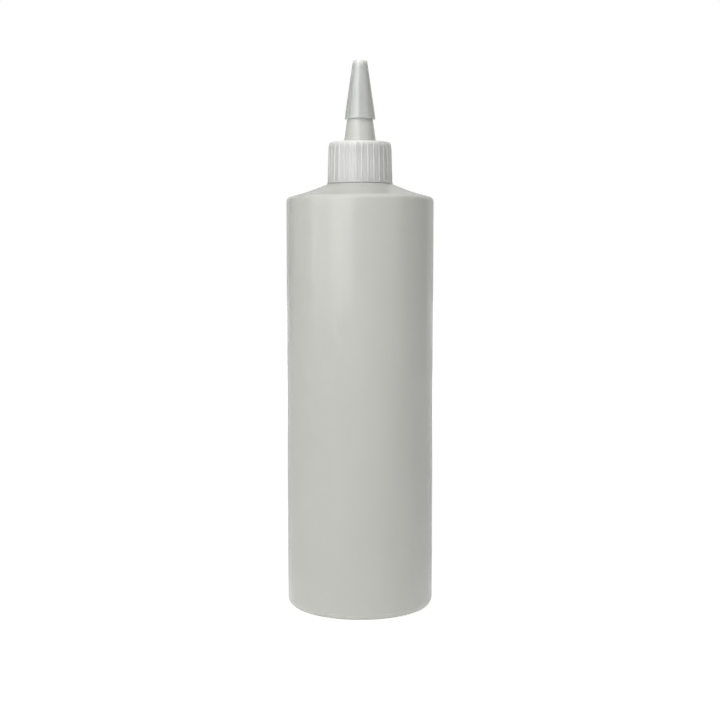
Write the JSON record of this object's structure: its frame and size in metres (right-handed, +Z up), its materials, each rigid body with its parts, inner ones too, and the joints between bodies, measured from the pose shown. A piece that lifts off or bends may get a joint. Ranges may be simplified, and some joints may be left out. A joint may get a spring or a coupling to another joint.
{
  "type": "glue applicator bottle",
  "caption": "Tall round translucent squeeze bottle with a ribbed screw cap, a long tapered glue spout and a push-on tip cap.",
  "frame": {"origin": "centre of the bottle's standing ring, at the height it rests on", "axes": "+Z up along the bottle's axis, towards the tip cap; the mould's parting lines lie on the +X and -X sides"},
  "size_m": [0.0616, 0.0614, 0.228],
  "materials": {
    "natural_hdpe": "milky translucent, satin",
    "white_ldpe": "off-white, satin",
    "pe_foam": "fine closed-cell foam",
    "natural_ldpe": "translucent, satin"
  },
  "bodies": {
    "bottle": {"bottle": "natural_hdpe"},
    "seal": {"sealing_washer": "pe_foam"},
    "spout": {"spout_cap": "white_ldpe"},
    "tip": {"tip_cap": "natural_ldpe"}
  },
  "joints": [
    {"name": "cap_lift", "type": "slide", "parent": "bottle", "child": "seal", "axis": [0, 0, 1], "range_m": [0, 0.01905]},
    {"name": "cap_twist", "type": "hinge", "parent": "seal", "child": "spout", "pos_m": [0, 0, 0.1857], "axis": [0, 0, 1], "range_deg": [0, 2160]},
    {"name": "tip_pull", "type": "slide", "parent": "spout", "child": "tip", "axis": [0, 0, 1], "range_m": [0, 0.025]}
  ],
  "couplings": [
    {"joint": "cap_lift", "follows": "cap_twist", "m_per_rad": 0.00050532}
  ]
}
